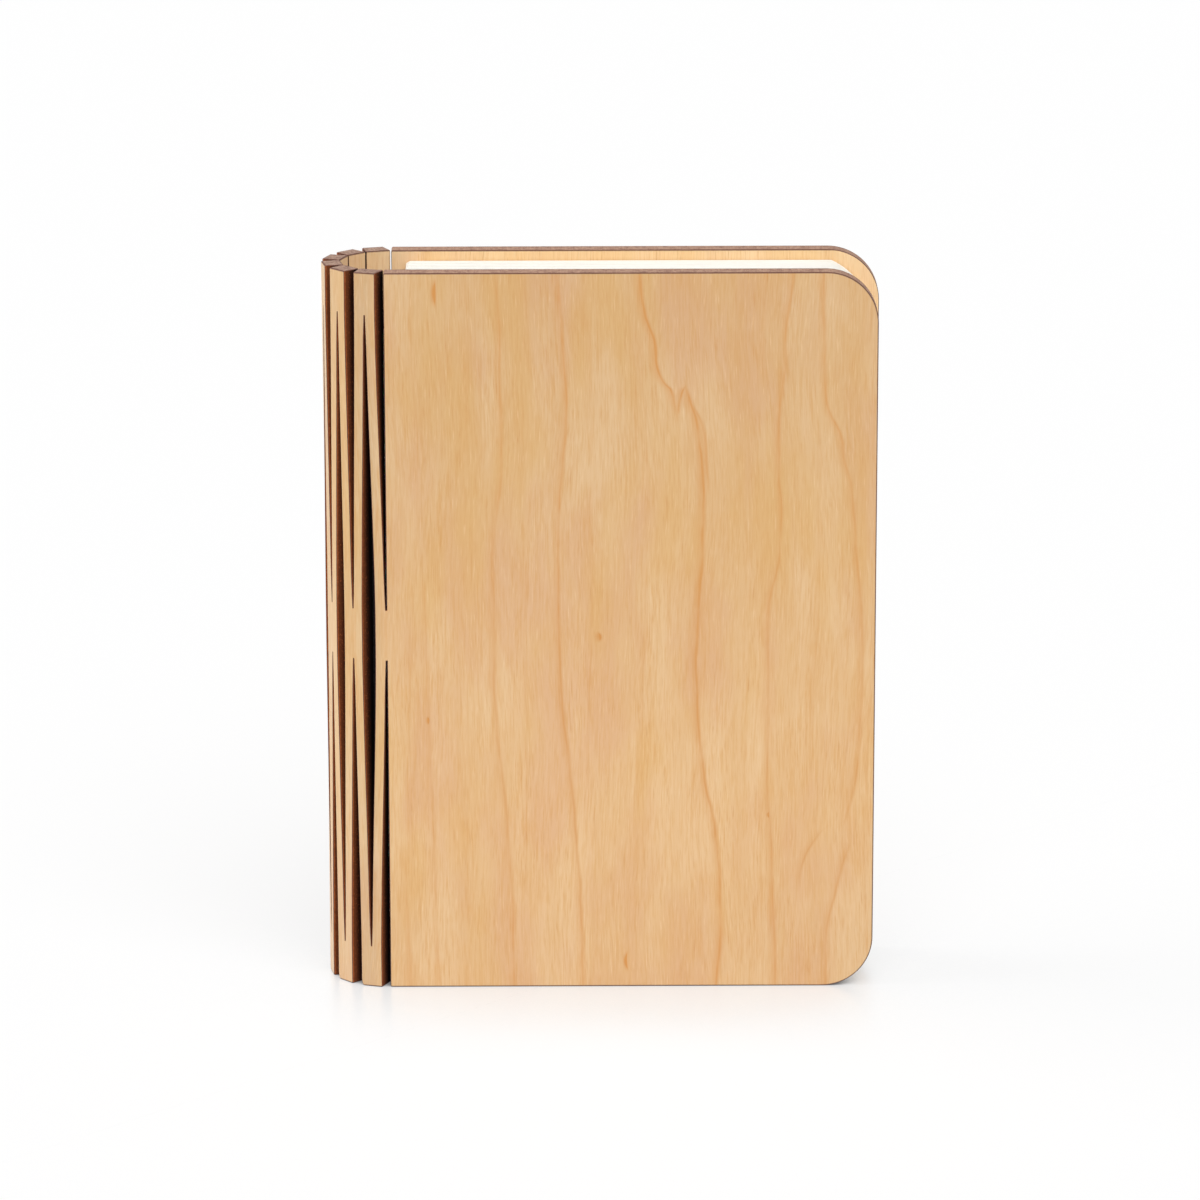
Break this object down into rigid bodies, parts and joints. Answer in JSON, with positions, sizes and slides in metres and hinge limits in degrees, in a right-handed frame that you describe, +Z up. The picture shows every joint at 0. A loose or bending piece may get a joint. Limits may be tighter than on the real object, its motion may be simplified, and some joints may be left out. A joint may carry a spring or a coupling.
{
  "type": "folding book lamp",
  "caption": "Closed book-shaped lamp: wooden covers joined by a slatted lattice-hinge spine, pleated paper pages that fan out, and a light bar inside.",
  "frame": {"origin": "middle of the underside of the closed lamp's box, on the surface it stands on", "axes": "+Z up along the spine, -Y out of the front cover, +X from the spine to the fore-edge"},
  "size_m": [0.0918, 0.0208, 0.122],
  "materials": {
    "maple_ply": "satin, laser cut",
    "pleated_paper": "matt",
    "nickel": "plated",
    "black_plastic": "satin",
    "frosted_cover": "frosted",
    "circuit_board": "solder mask",
    "battery_film": "foil",
    "led_resin": "resin",
    "chip_epoxy": "moulded",
    "socket_steel": "plated",
    "red_insulation": "soft",
    "black_insulation": "soft",
    "foam": "foam"
  },
  "bodies": {
    "front_board": {"front_cover": "maple_ply", "front_cover_foot_magnet": "nickel", "front_cover_head_magnet": "nickel", "switch_magnet": "nickel", "front_endpaper": "pleated_paper", "flexure_1": "maple_ply"},
    "slat_block_1": {"slat_1_foot": "maple_ply", "slat_1_head": "maple_ply", "page_01": "pleated_paper"},
    "bridge_block_2": {"flexure_2": "maple_ply", "page_02": "pleated_paper"},
    "slat_block_2": {"slat_2_foot": "maple_ply", "slat_2_head": "maple_ply", "page_03": "pleated_paper"},
    "bridge_block_3": {"flexure_3": "maple_ply", "page_04": "pleated_paper"},
    "slat_block_3": {"slat_3_foot": "maple_ply", "slat_3_head": "maple_ply", "page_05": "pleated_paper"},
    "bridge_block_4": {"flexure_4": "maple_ply", "page_06": "pleated_paper", "foam_pad": "foam", "light_bar_base": "black_plastic", "diffuser": "frosted_cover", "top_cap": "black_plastic", "bottom_cap": "black_plastic", "charging_socket": "socket_steel", "circuit_board": "circuit_board", "led_strip": "led_resin", "charger_chip": "chip_epoxy", "driver_chip": "chip_epoxy", "magnet_sensor": "chip_epoxy", "battery_cell": "battery_film", "negative_lead": "black_insulation", "positive_lead": "red_insulation"},
    "slat_block_4": {"slat_4_foot": "maple_ply", "slat_4_head": "maple_ply", "page_07": "pleated_paper"},
    "bridge_block_5": {"flexure_5": "maple_ply", "page_08": "pleated_paper"},
    "slat_block_5": {"slat_5_foot": "maple_ply", "slat_5_head": "maple_ply", "page_09": "pleated_paper"},
    "bridge_block_6": {"flexure_6": "maple_ply", "page_10": "pleated_paper"},
    "slat_block_6": {"slat_6_foot": "maple_ply", "slat_6_head": "maple_ply", "page_11": "pleated_paper"},
    "back_board": {"back_cover": "maple_ply", "back_cover_foot_magnet": "nickel", "back_cover_head_magnet": "nickel", "back_endpaper": "pleated_paper", "flexure_7": "maple_ply"}
  },
  "joints": [
    {"name": "spine_hinge_01", "type": "hinge", "parent": "slat_block_1", "child": "front_board", "pos_m": [-0.03693, -0.00879, 0.061], "axis": [0, 0, -1], "range_deg": [0, 34.86], "deforming": ["flexure_1"]},
    {"name": "spine_hinge_02", "type": "hinge", "parent": "bridge_block_2", "child": "slat_block_1", "pos_m": [-0.03927, -0.00808, 0.061], "axis": [0, 0, -1], "range_deg": [0, 31.27], "deforming": ["flexure_2"]},
    {"name": "spine_hinge_03", "type": "hinge", "parent": "slat_block_2", "child": "bridge_block_2", "pos_m": [-0.0412, -0.00686, 0.061], "axis": [0, 0, -1], "range_deg": [0, 31.27], "deforming": ["flexure_2"]},
    {"name": "spine_hinge_04", "type": "hinge", "parent": "bridge_block_3", "child": "slat_block_2", "pos_m": [-0.04275, -0.00517, 0.061], "axis": [0, 0, -1], "range_deg": [0, 31.78], "deforming": ["flexure_3"]},
    {"name": "spine_hinge_05", "type": "hinge", "parent": "slat_block_3", "child": "bridge_block_3", "pos_m": [-0.04378, -0.00314, 0.061], "axis": [0, 0, -1], "range_deg": [0, 31.78], "deforming": ["flexure_3"]},
    {"name": "spine_hinge_06", "type": "hinge", "parent": "bridge_block_4", "child": "slat_block_3", "pos_m": [-0.04424, -0.0009, 0.061], "axis": [0, 0, -1], "range_deg": [0, 31.78], "deforming": ["flexure_4"]},
    {"name": "spine_hinge_07", "type": "hinge", "parent": "bridge_block_4", "child": "slat_block_4", "pos_m": [-0.04408, 0.00137, 0.061], "axis": [0, 0, 1], "range_deg": [0, 31.77], "deforming": ["flexure_4"]},
    {"name": "spine_hinge_08", "type": "hinge", "parent": "slat_block_4", "child": "bridge_block_5", "pos_m": [-0.04332, 0.00353, 0.061], "axis": [0, 0, 1], "range_deg": [0, 27.68], "deforming": ["flexure_5"]},
    {"name": "spine_hinge_09", "type": "hinge", "parent": "bridge_block_5", "child": "slat_block_5", "pos_m": [-0.04207, 0.00544, 0.061], "axis": [0, 0, 1], "range_deg": [0, 27.68], "deforming": ["flexure_5"]},
    {"name": "spine_hinge_10", "type": "hinge", "parent": "slat_block_5", "child": "bridge_block_6", "pos_m": [-0.04042, 0.00701, 0.061], "axis": [0, 0, 1], "range_deg": [0, 28.71], "deforming": ["flexure_6"]},
    {"name": "spine_hinge_11", "type": "hinge", "parent": "bridge_block_6", "child": "slat_block_6", "pos_m": [-0.03843, 0.00814, 0.061], "axis": [0, 0, 1], "range_deg": [0, 28.71], "deforming": ["flexure_6"]},
    {"name": "spine_hinge_12", "type": "hinge", "parent": "slat_block_6", "child": "back_board", "pos_m": [-0.03607, 0.00879, 0.061], "axis": [0, 0, 1], "range_deg": [0, 31.78], "deforming": ["flexure_7"]}
  ],
  "couplings": [
    {"joint": "spine_hinge_01", "follows": "spine_hinge_07", "ratio": 1.0968},
    {"joint": "spine_hinge_02", "follows": "spine_hinge_07", "ratio": 0.98387},
    {"joint": "spine_hinge_03", "follows": "spine_hinge_07", "ratio": 0.98387},
    {"joint": "spine_hinge_04", "follows": "spine_hinge_07", "ratio": 1},
    {"joint": "spine_hinge_05", "follows": "spine_hinge_07", "ratio": 1},
    {"joint": "spine_hinge_06", "follows": "spine_hinge_07", "ratio": 1},
    {"joint": "spine_hinge_08", "follows": "spine_hinge_07", "ratio": 0.87097},
    {"joint": "spine_hinge_09", "follows": "spine_hinge_07", "ratio": 0.87097},
    {"joint": "spine_hinge_10", "follows": "spine_hinge_07", "ratio": 0.90323},
    {"joint": "spine_hinge_11", "follows": "spine_hinge_07", "ratio": 0.90323},
    {"joint": "spine_hinge_12", "follows": "spine_hinge_07", "ratio": 1}
  ]
}
